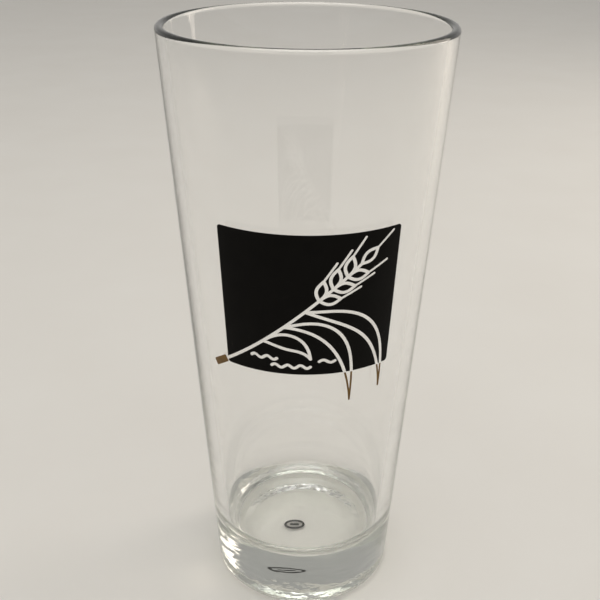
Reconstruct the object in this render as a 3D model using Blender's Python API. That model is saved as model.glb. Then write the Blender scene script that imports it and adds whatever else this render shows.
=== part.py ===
"""A tall, straight-sided conical pint glass with a fired-on print, built in its own frame.

The glass stands on z = 0 with its axis on +Z, and the middle of its print faces -Y.
It is one turned piece of glass. The print is black enamel and bronze: the artwork is drawn flat,
the way it lies on a printer's screen, cut into its separate patches of enamel, and wrapped round
the cone. Each patch of print that touches no other is a piece of its own.
"""

import math

import bmesh
import bpy
from mathutils import Vector
from mathutils.geometry import delaunay_2d_cdt, intersect_point_tri_2d

MM = 0.001

# The glass.
HEIGHT = 186 * MM
RIM_RADIUS = 42 * MM  # outside, at the lip
BASE_RADIUS = 30.2 * MM  # outside, where the wall's line meets the table
RIM_WALL = 2.6 * MM
FLOOR_WALL = 4.4 * MM  # the wall's thickness at the level of the floor
FLOOR_HEIGHT = 17.8 * MM  # the floor's top above the table
FLOOR_CORNER = 8.5 * MM  # fillet between floor and wall
LIP_ROUND = 1.2 * MM  # rounding of each edge of the lip
HEEL_ROUND = 3 * MM
FOOT_WIDTH = 3 * MM  # flat ring that the glass stands on
FOOT_EDGE = 0.8 * MM  # rounding of the ring's inner edge
PUNT_DEPTH = 0.8 * MM  # hollow under the base
PUNT_SLOPE = 4 * MM  # run of the hollow's sloping side
PUNT_ROUND = 4 * MM
FACETS = 72  # flats round the glass, with one edge between two of them at -Y
ARC_STEP = math.radians(15)  # largest turn between two points of a rounded corner

# The print on the wall.
PRINT_GAP = 0.1 * MM  # clearance between the glass and the print's back
PRINT_THICKNESS = 0.1 * MM
PRINT_CLEARANCE = 0.3 * MM  # between the black panel and the bronze lines that carry on past it
PANEL_WIDTH = 51.9 * MM  # measured round the glass at the panel's middle
PANEL_HEIGHT = 43.7 * MM
PANEL_MIDDLE = 116.6 * MM  # height of the panel's middle above the table
PANEL_CORNER = 1 * MM
LINE_WIDTH = 0.95 * MM  # lines left clear in the black
AWN_WIDTH = 0.7 * MM  # the finer lines of the ear's bristles
BRONZE_WIDTH = 0.6 * MM  # bronze lines below the panel
STUB_WIDTH = 2.3 * MM  # bronze end of the cut stem
STUB_LENGTH = 6 * MM

# The drawing, an ear of barley. Its points are shares of the panel's half width and half height.
STEM = ((-1.02, -0.96), (-0.62, -0.66), (-0.24, -0.26), (0.10, 0.10))
LEAVES = {  # name: step of the stem that it grows from, and the other points of its centre line
    "short_leaf": (6, ((-0.36, -0.48), (-0.08, -0.46), (0.02, -0.76))),
    "middle_leaf": (9, ((0.14, -0.22), (0.48, -0.40), (0.50, -1.46))),
    "outer_leaf": (12, ((0.34, -0.16), (0.88, -0.12), (0.90, -1.36))),
}
FURROWS = (  # start, end and height of each wavy line, and its number of waves
    (-0.66, -0.36, -0.77, 2),
    (-0.42, 0.02, -0.88, 3),
    (0.12, 0.30, -0.80, 1),
)
# Its sizes are shares of the panel's half height, or of its half width times EAR_ASPECT if less.
EAR_ASPECT = 0.845
EAR_PITCH = 0.235  # from one pair of grains to the next
GRAIN_PAIRS = 3
GRAIN_LENGTH = 0.275
GRAIN_WIDTH = 0.128
AWN_LENGTH = 0.29
LEAF_WIDTH = 0.215
FURROW_HEIGHT = 0.022  # how far a wave rises and falls
GRAIN_TURN = math.radians(38)  # each grain's lean from the ear's axis
AWN_TURN = math.radians(15)

# The mark under the base.
MARK_PLACE = (-3 * MM, 1.2 * MM)
MARK_LENGTH = 7.6 * MM
MARK_WIDTH = 4.8 * MM
MARK_LINE = 0.9 * MM
MARK_BAR = 2.6 * MM  # length of the bar inside the oval

CURVE_STEPS = 14
OVAL_STEPS = 32
ROUND_END_STEPS = 6
SAME_POINT = 0.001 * MM  # points of the drawing that are closer than this are one
FACET_ANGLE = 2 * math.pi / FACETS


def outer_radius(z):
    """The outside radius of the straight wall at a height."""
    return BASE_RADIUS + (RIM_RADIUS - BASE_RADIUS) * z / HEIGHT


def clear_scene():
    for item in list(bpy.data.objects):
        bpy.data.objects.remove(item)


def make_material(name, colour, roughness, metallic=0.0, transmission=0.0):
    material = bpy.data.materials.new(name)
    material.use_nodes = True
    shader = material.node_tree.nodes["Principled BSDF"]
    shader.inputs["Base Color"].default_value = (*colour, 1)
    shader.inputs["Roughness"].default_value = roughness
    shader.inputs["Metallic"].default_value = metallic
    shader.inputs["Transmission Weight"].default_value = transmission
    return material


def add_object(name, mesh, material):
    mesh.name = name
    mesh.materials.clear()
    mesh.materials.append(material)
    item = bpy.data.objects.new(name, mesh)
    bpy.context.collection.objects.link(item)
    return item


def rounded(corners):
    """Points of a line through (point, radius) corners, each corner turned into an arc of its radius."""
    points = []
    for i, (corner, radius) in enumerate(corners):
        corner = Vector(corner)
        if radius == 0:
            points.append(corner)
            continue
        to_last = (Vector(corners[i - 1][0]) - corner).normalized()
        to_next = (Vector(corners[(i + 1) % len(corners)][0]) - corner).normalized()
        half = to_last.angle(to_next) / 2
        centre = corner + (to_last + to_next).normalized() * radius / math.sin(half)
        start = corner + to_last * radius / math.tan(half) - centre
        turn = start.angle_signed(corner + to_next * radius / math.tan(half) - centre)
        steps = max(1, math.ceil(abs(turn) / ARC_STEP - 1e-6))
        for step in range(steps + 1):
            angle = -turn * step / steps
            points.append(
                centre
                + Vector(
                    (
                        start.x * math.cos(angle) - start.y * math.sin(angle),
                        start.x * math.sin(angle) + start.y * math.cos(angle),
                    )
                )
            )
    return points


def glass_body(material):
    """The glass, turned from the middle of its floor over the lip and down to the middle of its foot."""
    foot_outer = BASE_RADIUS - HEEL_ROUND
    foot_inner = foot_outer - FOOT_WIDTH
    profile = rounded(
        [
            ((0, FLOOR_HEIGHT), 0),
            ((outer_radius(FLOOR_HEIGHT) - FLOOR_WALL, FLOOR_HEIGHT), FLOOR_CORNER),
            ((RIM_RADIUS - RIM_WALL, HEIGHT), LIP_ROUND),
            ((RIM_RADIUS, HEIGHT), LIP_ROUND),
            ((BASE_RADIUS, 0), HEEL_ROUND),
            ((foot_inner, 0), FOOT_EDGE),
            ((foot_inner - PUNT_SLOPE, PUNT_DEPTH), PUNT_ROUND),
            ((0, PUNT_DEPTH), 0),
        ]
    )
    mesh = bpy.data.meshes.new("glass_body")
    edges = [(i, i + 1) for i in range(len(profile) - 1)]
    mesh.from_pydata([(p.x, 0, p.y) for p in profile], edges, [])
    item = add_object("glass_body", mesh, material)
    screw = item.modifiers.new("turned", "SCREW")
    screw.axis = "Z"
    screw.steps = screw.render_steps = FACETS
    screw.use_merge_vertices = True
    screw.merge_threshold = 0.00001
    return item


def bezier(points, steps=CURVE_STEPS):
    """Points along a cubic Bezier curve."""
    a, b, c, d = (Vector(p) for p in points)
    line = []
    for step in range(steps + 1):
        t = step / steps
        s = 1 - t
        line.append(a * s**3 + b * (3 * s * s * t) + c * (3 * s * t * t) + d * t**3)
    return line


def on_panel(points):
    """Points given in shares of the panel's half sizes, in metres from its middle."""
    return [Vector((u * PANEL_WIDTH / 2, v * PANEL_HEIGHT / 2)) for u, v in points]


def drawn(share):
    """A size in the drawing, in metres."""
    return share * min(PANEL_WIDTH / 2 * EAR_ASPECT, PANEL_HEIGHT / 2)


def sides(line, half_width):
    """The two lines that run beside a line, half_width(t) away, with t from 0 to 1."""
    left, right = [], []
    for i, point in enumerate(line):
        along = (line[min(i + 1, len(line) - 1)] - line[max(i - 1, 0)]).normalized()
        across = Vector((-along.y, along.x)) * half_width(i / (len(line) - 1))
        left.append(point + across)
        right.append(point - across)
    return left, right


def stroke(line, width):
    """The closed outline of a line drawn with a round pen."""
    left, right = sides(line, lambda t: width / 2)
    outline = []
    for side, end, before in ((right, line[-1], line[-2]), (left[::-1], line[0], line[1])):
        outline += side
        heading = math.atan2(*(end - before).yx)
        for step in range(1, ROUND_END_STEPS):
            angle = heading - math.pi / 2 + math.pi * step / ROUND_END_STEPS
            outline.append(end + Vector((math.cos(angle), math.sin(angle))) * width / 2)
    return outline


def panel_outline(grow=0.0):
    """The panel's rectangle with rounded corners, grown on all sides."""
    across, up = PANEL_WIDTH / 2 + grow, PANEL_HEIGHT / 2 + grow
    corners = ((-across, -up), (across, -up), (across, up), (-across, up))
    return rounded([(corner, PANEL_CORNER + grow) for corner in corners])


def mid_radius():
    """The glass's radius at the middle of the panel, where the flat drawing has its true width."""
    return outer_radius(PANEL_MIDDLE)


def creases(outlines):
    """The places across the flat drawing where it will bend over an edge of the glass."""
    reach = max(abs(point.x) for outline in outlines for point in outline)
    most = math.floor(reach / mid_radius() / FACET_ANGLE)
    return [i * FACET_ANGLE * mid_radius() for i in range(-most, most + 1)]


def cut_patches(outlines, wanted, bends=()):
    """Cuts the plane along some outlines and returns its separate patches of print.

    wanted says whether ink lies where the outlines with these numbers overlap. bends are places
    across the plane where each patch gets an edge. A patch is its points and its triangles.
    """
    far = 2 * max(abs(point.y) for outline in outlines for point in outline)
    points, faces = [], []
    for outline in outlines:
        faces.append(range(len(points), len(points) + len(outline)))
        points += outline
    edges = [(len(points) + 2 * i, len(points) + 2 * i + 1) for i in range(len(bends))]
    for x in bends:
        points += [Vector((x, -far)), Vector((x, far))]
    inside_only = 1
    points, _, triangles, _, _, owners = delaunay_2d_cdt(
        points, edges, faces, inside_only, SAME_POINT, True
    )
    inked = [t for t, owner in zip(triangles, owners) if owner and wanted(set(owner))]
    return [(points, patch) for patch in joined(inked)]


def joined(triangles):
    """Sorts triangles into groups that hang together by their edges."""
    by_edge = {}
    for index, triangle in enumerate(triangles):
        for i in range(3):
            by_edge.setdefault(frozenset((triangle[i - 1], triangle[i])), []).append(index)
    left = dict.fromkeys(range(len(triangles)))
    groups = []
    while left:
        todo = [next(iter(left))]
        del left[todo[0]]
        group = []
        while todo:
            triangle = triangles[todo.pop()]
            group.append(triangle)
            for i in range(3):
                for other in by_edge[frozenset((triangle[i - 1], triangle[i]))]:
                    if other in left:
                        del left[other]
                        todo.append(other)
        groups.append(group)
    return groups


def print_solid(name, patch, place, material):
    """A thin solid of print. place(point, out) puts a point of the flat drawing in the world."""
    points, triangles = patch
    shape = bmesh.new()
    layers = []
    for out in (0, PRINT_THICKNESS):
        used = sorted({i for triangle in triangles for i in triangle})
        verts = {i: shape.verts.new(place(points[i], out)) for i in used}
        for triangle in triangles:
            shape.faces.new([verts[i] for i in triangle])
        layers.append(verts)
    sides_of = {}
    for triangle in triangles:
        for i in range(3):
            edge = (triangle[i - 1], triangle[i])
            sides_of[frozenset(edge)] = None if frozenset(edge) in sides_of else edge
    for a, b in filter(None, sides_of.values()):
        shape.faces.new((layers[0][a], layers[0][b], layers[1][b], layers[1][a]))
    bmesh.ops.recalc_face_normals(shape, faces=shape.faces)
    mesh = bpy.data.meshes.new(name)
    shape.to_mesh(mesh)
    shape.free()
    mesh.shade_smooth()
    mesh.set_sharp_from_angle(angle=math.radians(30))
    add_object(name, mesh, material)


def on_wall(point, out):
    """Where a point of the flat print lies on the flats of the glass, with its back just off them."""
    z = PANEL_MIDDLE + point.y
    angle = point.x / mid_radius()
    past_edge = angle % FACET_ANGLE
    flat = math.cos(FACET_ANGLE / 2) / math.cos(past_edge - FACET_ANGLE / 2)
    radius = (outer_radius(z) + PRINT_GAP + out) * flat
    return (radius * math.sin(angle), -radius * math.cos(angle), z)


def under_base(point, out):
    """Where a point of the mark lies in the hollow under the base."""
    return (point.x + MARK_PLACE[0], point.y + MARK_PLACE[1], PUNT_DEPTH - PRINT_GAP - out)


def leaf_lines(name):
    """The two edges of a leaf, which meet at its root on the stem and at its tip."""
    step, others = LEAVES[name]
    root = bezier(on_panel(STEM))[step]
    line = bezier([root, *on_panel(others)], 2 * CURVE_STEPS)
    return sides(line, lambda t: drawn(LEAF_WIDTH) / 2 * math.sin(math.pi * t) ** 1.15)


def turned(angle, length):
    return Vector((math.cos(angle), math.sin(angle))) * length


def ear_heading():
    """The direction in which the stem ends and the ear goes on."""
    before, end = on_panel(STEM)[-2:]
    return math.atan2(*(end - before).yx)


def ear_tip():
    """The end of the ear's axis, where its last grain sits."""
    return on_panel(STEM)[-1] + turned(ear_heading(), drawn(EAR_PITCH) * GRAIN_PAIRS)


def grains():
    """Each grain's name, root and lean, from the lowest pair to the one at the tip."""
    found = [("grain_tip", ear_tip(), 0.0)]
    for pair in range(GRAIN_PAIRS):
        place = ear_tip() - turned(ear_heading(), drawn(EAR_PITCH) * (GRAIN_PAIRS - pair))
        found.append((f"grain_upper_{pair + 1}", place, GRAIN_TURN))
        found.append((f"grain_lower_{pair + 1}", place, -GRAIN_TURN))
    return found


def grain_lines(root, lean):
    """The two sides of a grain, and the bristle on its tip."""
    heading = ear_heading() + lean
    tip = root + turned(heading, drawn(GRAIN_LENGTH))
    line = bezier((root, root.lerp(tip, 1 / 3), root.lerp(tip, 2 / 3), tip), 8)
    left, right = sides(line, lambda t: drawn(GRAIN_WIDTH) / 2 * math.sin(math.pi * t))
    awn_heading = ear_heading() + (math.copysign(AWN_TURN, lean) if lean else 0)
    return left, right, [tip, tip + turned(awn_heading, drawn(AWN_LENGTH))]


def furrow_line(start, end, height, waves):
    """A short wavy line."""
    steps = waves * 8
    line = []
    for step in range(steps + 1):
        t = step / steps
        point = on_panel([(start + (end - start) * t, height)])[0]
        rise = drawn(FURROW_HEIGHT) * math.sin(2 * math.pi * waves * t)
        line.append(point + Vector((0, rise)))
    return line


def drawing():
    """The outlines of all the lines left clear in the black panel."""
    outlines = [stroke([*bezier(on_panel(STEM)), ear_tip()], LINE_WIDTH)]
    for name in LEAVES:
        outlines += [stroke(line, LINE_WIDTH) for line in leaf_lines(name)]
    for _, root, lean in grains():
        left, right, awn = grain_lines(root, lean)
        outlines += [stroke(left, LINE_WIDTH), stroke(right, LINE_WIDTH), stroke(awn, AWN_WIDTH)]
    outlines += [stroke(furrow_line(*furrow), LINE_WIDTH) for furrow in FURROWS]
    return outlines


def patch_spots():
    """A place inside each patch of the black print that is named for what it shows."""
    spots = {"panel_above_stem": on_panel([(-0.5, 0.6)])[0]}
    spots["panel_below_stem"] = on_panel([(-0.72, -0.90)])[0]
    for name in LEAVES:
        left, right = leaf_lines(name)
        third = len(left) // 3
        spots[name] = left[third].lerp(right[third], 0.5)
    middle = leaf_lines("middle_leaf")[0]
    outer = leaf_lines("outer_leaf")[1]
    spots["panel_between_leaves"] = middle[-10].lerp(outer[-10], 0.5)
    for name, root, lean in grains():
        spots[name] = root + turned(ear_heading() + lean, drawn(GRAIN_LENGTH) / 2)
    return spots


def name_of(patch, spots):
    """The name of the first spot that lies in a patch, or None."""
    points, triangles = patch
    for name, spot in spots.items():
        for triangle in triangles:
            if intersect_point_tri_2d(spot, *(points[i] for i in triangle)):
                return name
    return None


def black_print(material):
    """The black panel with its drawing left clear, one object for each patch."""
    outlines = [panel_outline(), *drawing()]
    spots = patch_spots()
    spare = 0
    for patch in cut_patches(outlines, lambda owners: owners == {0}, creases(outlines)):
        name = name_of(patch, spots)
        if name is None:
            spare += 1
            name = f"panel_patch_{spare}"
        print_solid(name, patch, on_wall, material)


def bronze_print(material):
    """The lines that carry on below the panel, and the cut end of the stem."""
    lines = {}
    for name in ("middle_leaf", "outer_leaf"):
        lines[f"{name}_tip"] = [stroke(line, BRONZE_WIDTH) for line in leaf_lines(name)]
    root, after = bezier(on_panel(STEM))[:2]
    end = root + (root - after).normalized() * STUB_LENGTH
    left, right = sides([root, end], lambda t: STUB_WIDTH / 2)
    corners = [*right, *left[::-1]]
    lines["stem_stub"] = [rounded([(corner, STUB_WIDTH / 6) for corner in corners])]
    for name, strokes in lines.items():
        outlines = [panel_outline(PRINT_CLEARANCE), *strokes]
        for patch in cut_patches(outlines, lambda owners: 0 not in owners, creases(outlines)):
            print_solid(name, patch, on_wall, material)


def oval(inset):
    """The outline of the mark's oval, drawn in from its edge."""
    across, along = MARK_LENGTH / 2 - inset, MARK_WIDTH / 2 - inset
    turns = [2 * math.pi * i / OVAL_STEPS for i in range(OVAL_STEPS)]
    return [Vector((math.cos(t) * across, math.sin(t) * along)) for t in turns]


def underside_mark(material):
    """A plain oval ring with a bar in it, printed in the hollow under the base."""
    half = Vector((MARK_BAR / 2, 0))
    outlines = [oval(0), oval(MARK_LINE), stroke([-half, half], MARK_LINE)]
    for patch in cut_patches(outlines, lambda owners: owners != {0, 1}):
        name = name_of(patch, {"underside_bar": Vector((0, 0))}) or "underside_ring"
        print_solid(name, patch, under_base, material)


def main():
    clear_scene()
    glass = make_material("clear_glass", (0.86, 0.9, 0.88), 0.02, transmission=1.0)
    black = make_material("black_enamel", (0.008, 0.007, 0.006), 0.12)
    bronze = make_material("bronze_lustre", (0.16, 0.09, 0.04), 0.35, metallic=1.0)
    glass_body(glass)
    black_print(black)
    bronze_print(bronze)
    underside_mark(black)


main()
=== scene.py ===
"""A tall conical pint glass with a fired-on barley print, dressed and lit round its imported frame.

The glass stands on z = 0 with its axis on +Z, and the middle of its print faces -Y. Lengths are in
metres. The turned glass, the black enamel panel, the bronze lines below it and the mark under the
base are built here finer than the frame's faceted solids, each in the same place as its solid.
"""

import logging
import math
from collections.abc import Callable, Iterator, Mapping, Sequence
from dataclasses import dataclass, field, fields
from enum import Enum
from typing import Any

import bpy
from mathutils import Matrix, Vector
from mathutils.geometry import delaunay_2d_cdt, intersect_point_tri_2d

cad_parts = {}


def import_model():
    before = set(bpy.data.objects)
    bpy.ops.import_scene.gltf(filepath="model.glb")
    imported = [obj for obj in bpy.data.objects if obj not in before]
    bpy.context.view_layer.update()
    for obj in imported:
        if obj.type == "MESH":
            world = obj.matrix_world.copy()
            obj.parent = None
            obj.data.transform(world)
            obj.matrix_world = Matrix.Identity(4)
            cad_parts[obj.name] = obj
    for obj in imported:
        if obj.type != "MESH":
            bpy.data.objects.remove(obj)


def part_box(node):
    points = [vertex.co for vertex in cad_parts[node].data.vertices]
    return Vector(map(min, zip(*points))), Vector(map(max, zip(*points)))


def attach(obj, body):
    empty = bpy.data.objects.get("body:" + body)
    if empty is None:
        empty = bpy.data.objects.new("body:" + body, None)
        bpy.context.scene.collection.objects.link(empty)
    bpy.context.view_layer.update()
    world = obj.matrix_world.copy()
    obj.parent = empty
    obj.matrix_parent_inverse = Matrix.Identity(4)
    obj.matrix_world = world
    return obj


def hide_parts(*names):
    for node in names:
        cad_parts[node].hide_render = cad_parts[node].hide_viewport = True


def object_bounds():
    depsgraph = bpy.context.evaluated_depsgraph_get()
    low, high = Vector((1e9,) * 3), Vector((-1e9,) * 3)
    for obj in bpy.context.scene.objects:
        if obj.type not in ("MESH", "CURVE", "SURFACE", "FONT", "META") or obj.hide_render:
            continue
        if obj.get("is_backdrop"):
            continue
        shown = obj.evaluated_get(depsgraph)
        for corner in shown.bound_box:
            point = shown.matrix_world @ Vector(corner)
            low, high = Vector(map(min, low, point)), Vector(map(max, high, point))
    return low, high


MM = 0.001
GLASS_NODE = "glass_body"
BODY = "root"
SAME_POINT = 0.001 * MM  # points this close are one point
SAME_PATCH_POINT = 0.0004 * MM  # the same within a patch of print, whose points lie closer
NOISE_SPREAD = {1: 0.3, 2: 0.7}  # the Map Range inputs that take in most of a noise's values

log = logging.getLogger("pint_glass")

Tree = bpy.types.NodeTree
Socket = bpy.types.NodeSocket
Piece = bpy.types.Object
Line = list[Vector]
Triangle = tuple[int, ...]


# Small tools ---------------------------------------------------------------------------------


def linear(code: str) -> tuple[float, float, float, float]:
    """Turns an sRGB hex colour into linear light.

    Args:
        code: Six hex digits after a hash.

    Returns:
        Red, green, blue and an alpha of 1.
    """
    shares = [int(code[i : i + 2], 16) / 255 for i in (1, 3, 5)]
    red, green, blue = (
        s / 12.92 if s <= 0.04045 else ((s + 0.055) / 1.055) ** 2.4 for s in shares
    )
    return red, green, blue, 1.0


def add_node(
    tree: Tree, kind: str, inputs: Mapping[int | str, Any] | None = None, **settings: Any
) -> bpy.types.Node:
    """Adds a node to a tree, with its settings, values and links.

    Args:
        tree: The tree that the node joins.
        kind: Blender's type name of the node.
        inputs: For each input, by name or number, what to link, which is an output or a node
            whose first output it is, or a value to set.
        settings: The node's own properties.

    Returns:
        The new node.
    """
    node = tree.nodes.new(kind)
    for name, value in settings.items():
        setattr(node, name, value)
    for key, value in (inputs or {}).items():
        if isinstance(value, bpy.types.Node):
            value = value.outputs[0]
        if isinstance(value, Socket):
            tree.links.new(value, node.inputs[key])
        else:
            node.inputs[key].default_value = value
    return node


def new_tree(name: str, inputs: Mapping[str, str]) -> tuple[Tree, bpy.types.Node]:
    """Starts a Geometry Nodes tree with a geometry output.

    Args:
        name: The tree's name.
        inputs: The socket type of each named input.

    Returns:
        The tree and its input node.
    """
    tree = bpy.data.node_groups.new(name, "GeometryNodeTree")
    for label, kind in inputs.items():
        tree.interface.new_socket(label, in_out="INPUT", socket_type=f"NodeSocket{kind}")
    tree.interface.new_socket("Geometry", in_out="OUTPUT", socket_type="NodeSocketGeometry")
    return tree, add_node(tree, "NodeGroupInput")


def close_tree(tree: Tree, shape: bpy.types.Node, finish: Socket) -> None:
    """Ends a tree by realising its instances and setting its material.

    Args:
        tree: The tree to end.
        shape: The node that gives the finished geometry.
        finish: The output that carries the material.
    """
    real = add_node(tree, "GeometryNodeRealizeInstances", {"Geometry": shape})
    dressed = add_node(tree, "GeometryNodeSetMaterial", {"Geometry": real, "Material": finish})
    add_node(tree, "NodeGroupOutput", {0: dressed})


def grown(name: str, start: bpy.types.Mesh, tree: Tree, values: Mapping[str, Any]) -> Piece:
    """Runs a Geometry Nodes tree on a mesh and keeps its result as a plain mesh.

    Args:
        name: The new object's name.
        start: The mesh that the tree reads.
        tree: The tree.
        values: The value of each of the tree's named inputs.

    Returns:
        An object at the origin that has no modifiers left.
    """
    piece = bpy.data.objects.new(name, start)
    bpy.context.scene.collection.objects.link(piece)
    modifier = piece.modifiers.new(tree.name, "NODES")
    modifier.node_group = tree
    for item in tree.interface.items_tree:
        if item.in_out == "INPUT" and item.name in values:
            modifier[item.identifier] = values[item.name]
    freeze(piece)
    return piece


def freeze(piece: Piece) -> None:
    """Makes what an object's modifiers give its own plain mesh, and removes them.

    Args:
        piece: The object.
    """
    graph = bpy.context.evaluated_depsgraph_get()
    mesh = bpy.data.meshes.new_from_object(piece.evaluated_get(graph), depsgraph=graph)
    piece.modifiers.clear()
    piece.data = mesh
    mesh.name = piece.name


def settle(piece: Piece, node: str) -> None:
    """Puts a finished piece on the frame in place of its CAD node.

    Args:
        piece: The finished piece.
        node: The CAD node that it stands for.
    """
    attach(piece, BODY)
    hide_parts(node)
    low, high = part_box(node)
    corners = [piece.matrix_world @ Vector(corner) for corner in piece.bound_box]
    gap = max(
        abs(end(corner[axis] for corner in corners) - solid_end[axis])
        for end, solid_end in ((min, low), (max, high))
        for axis in range(3)
    )
    log.info(
        "%s: %d faces, box within %.2f mm of its solid",
        piece.name,
        len(piece.data.polygons),
        gap / MM,
    )


# Finishes ------------------------------------------------------------------------------------


class Slot(Enum):
    """The record's material slots."""

    GLASS = "clear_glass"
    BLACK = "black_enamel"
    BRONZE = "bronze_lustre"
    MARK = "base_mark_enamel"


def per_metre(millimetres: float) -> float:
    """The noise scale whose features are this far apart."""
    return 1 / (millimetres * MM)


def uneven(
    tree: Tree,
    place: Socket,
    apart: float,
    detail: float,
    colours: tuple[str, str],
) -> tuple[Socket, Socket]:
    """Adds an irregular pattern, and a colour that goes from one to another with it.

    Args:
        tree: The material's tree.
        place: The output that carries the place on the piece.
        apart: How many millimetres lie between one strong spot and the next.
        detail: How many finer layers the pattern has.
        colours: The colour where the pattern is weakest and where it is strongest.

    Returns:
        The output that carries the pattern's strength and the one that carries the colour.
    """
    strength = add_node(
        tree, "ShaderNodeTexNoise", {0: place, "Scale": per_metre(apart), "Detail": detail}
    ).outputs[0]
    weakest, strongest = (linear(colour) for colour in colours)
    colour = add_node(
        tree, "ShaderNodeMix", {0: strength, 6: weakest, 7: strongest}, data_type="RGBA"
    ).outputs[2]
    return strength, colour


@dataclass(frozen=True)
class Finish:
    """What a piece is made of, as the eye sees it."""

    name: str

    def surface(self, tree: Tree, place: Socket) -> dict[str, Any]:
        """Adds the patterns of the finish's surface.

        Args:
            tree: The material's tree.
            place: The output that carries the place on the piece.

        Returns:
            The output or value for each input of the shader that isn't left as it is.
        """
        raise NotImplementedError

    def inside(self, tree: Tree) -> dict[str, Socket]:
        """What fills a clear piece: nothing, unless a kind of finish says otherwise."""
        return {}

    def material(self) -> bpy.types.Material:
        """Makes the finish as a material.

        Returns:
            The material, with one shader and whatever fills the piece.
        """
        material = bpy.data.materials.new(self.name)
        material.use_nodes = True
        tree = material.node_tree
        tree.nodes.clear()
        place = add_node(tree, "ShaderNodeTexCoord").outputs["Object"]
        shader = add_node(tree, "ShaderNodeBsdfPrincipled", self.surface(tree, place))
        add_node(tree, "ShaderNodeOutputMaterial", {"Surface": shader, **self.inside(tree)})
        return material


@dataclass(frozen=True)
class SodaLimeGlass(Finish):
    """Soda-lime glass, pressed or blown in a mould and fire-polished.

    It is clear with a faint grey-green cast that shows where the light's way through it is long.
    The mould leaves slow waves that bend what is seen through the wall, and round the thick base,
    which cools slowest, chill marks that break its highlights into streaks.
    """

    name: str = "soda_lime_glass"
    ior: float = 1.52
    tint: str = "#aeb5a5"
    density: float = 8.0  # per metre of glass
    wave_apart: float = 16.0  # mm between the mould's slow waves
    wave_height: float = 0.012  # mm
    wave_stretch: float = 0.25  # they run up the glass, so they are four times as long as wide
    chill_apart: float = 5.0  # mm between chill marks
    chill_height: float = 0.3  # mm
    chill_reach: float = 22.0  # mm, the height above the foot at which they end

    def relief(self, tree: Tree, place: Socket) -> Socket:
        """Adds the waves and the chill marks.

        Args:
            tree: The material's tree.
            place: The output that carries the place on the piece.

        Returns:
            The output that carries the relief's height in millimetres.
        """
        drawn_out = add_node(
            tree, "ShaderNodeMapping", {0: place, "Scale": (1, 1, self.wave_stretch)}
        )
        waves = add_node(
            tree,
            "ShaderNodeTexNoise",
            {0: drawn_out, "Scale": per_metre(self.wave_apart), "Detail": 1.0},
        )
        marks = add_node(
            tree, "ShaderNodeTexNoise", {0: place, "Scale": per_metre(self.chill_apart)}
        )
        fade = add_node(
            tree,
            "ShaderNodeMapRange",
            {
                0: add_node(tree, "ShaderNodeSeparateXYZ", {0: place}).outputs["Z"],
                1: 0.0,
                2: self.chill_reach * MM,
                3: self.chill_height,
                4: 0.0,
            },
            interpolation_type="SMOOTHSTEP",
        )
        chill = add_node(tree, "ShaderNodeMath", {0: marks, 1: fade}, operation="MULTIPLY")
        return add_node(
            tree,
            "ShaderNodeMath",
            {0: waves, 1: self.wave_height, 2: chill},
            operation="MULTIPLY_ADD",
        ).outputs[0]

    def surface(self, tree: Tree, place: Socket) -> dict[str, Any]:
        """Adds a clear, polished surface that follows the relief.

        Args:
            tree: The material's tree.
            place: The output that carries the place on the piece.

        Returns:
            The output or value for each input of the shader.
        """
        bump = add_node(
            tree,
            "ShaderNodeBump",
            {"Strength": 1.0, "Distance": MM, "Height": self.relief(tree, place)},
        )
        return {
            "Base Color": (1, 1, 1, 1),
            "Roughness": 0.0,
            "Metallic": 0.0,
            "IOR": self.ior,
            "Transmission Weight": 1.0,
            "Normal": bump,
        }

    def inside(self, tree: Tree) -> dict[str, Socket]:
        """Glass that takes up a little of the light on its way through."""
        cast = {"Color": linear(self.tint), "Density": self.density}
        return {"Volume": add_node(tree, "ShaderNodeVolumeAbsorption", cast).outputs[0]}


@dataclass(frozen=True)
class ScreenedEnamel(Finish):
    """Vitreous enamel: ground glass and pigment, printed through a screen and fired on.

    Firing melts it to a hard gloss with a fine orange peel, and the pigment lies a little
    unevenly, so the black is nowhere quite the same.
    """

    name: str = "black_vitreous_enamel"
    colours: tuple[str, str] = ("#0a0908", "#12110f")
    ior: float = 1.52
    sheen: float = 0.05  # painted shade: the black mirrors the room far more weakly than fired glass does, so its reflections stay as dark as if shade lay round it
    gloss: tuple[float, float] = (0.07, 0.16)  # least and most roughness
    mottle_apart: float = 5.0  # mm between pools of pigment
    peel_apart: float = 0.5  # mm, drawn coarser than the real 0.1 mm so that it shows
    peel_height: float = 0.002  # mm

    def surface(self, tree: Tree, place: Socket) -> dict[str, Any]:
        """Adds a glossy black surface that is no metal.

        Args:
            tree: The material's tree.
            place: The output that carries the place on the piece.

        Returns:
            The output or value for each input of the shader.
        """
        mottle, colour = uneven(tree, place, self.mottle_apart, detail=4.0, colours=self.colours)
        roughness = add_node(
            tree,
            "ShaderNodeMapRange",
            {0: mottle, **NOISE_SPREAD, 3: self.gloss[0], 4: self.gloss[1]},
        )
        peel = add_node(
            tree,
            "ShaderNodeTexNoise",
            {0: place, "Scale": per_metre(self.peel_apart), "Detail": 2.0},
        )
        bump = add_node(
            tree,
            "ShaderNodeBump",
            {"Strength": 1.0, "Distance": self.peel_height * MM, "Height": peel},
        )
        return {
            "Base Color": colour,
            "Roughness": roughness,
            "IOR": self.ior,
            "Specular IOR Level": self.sheen,
            "Normal": bump,
        }


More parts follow.
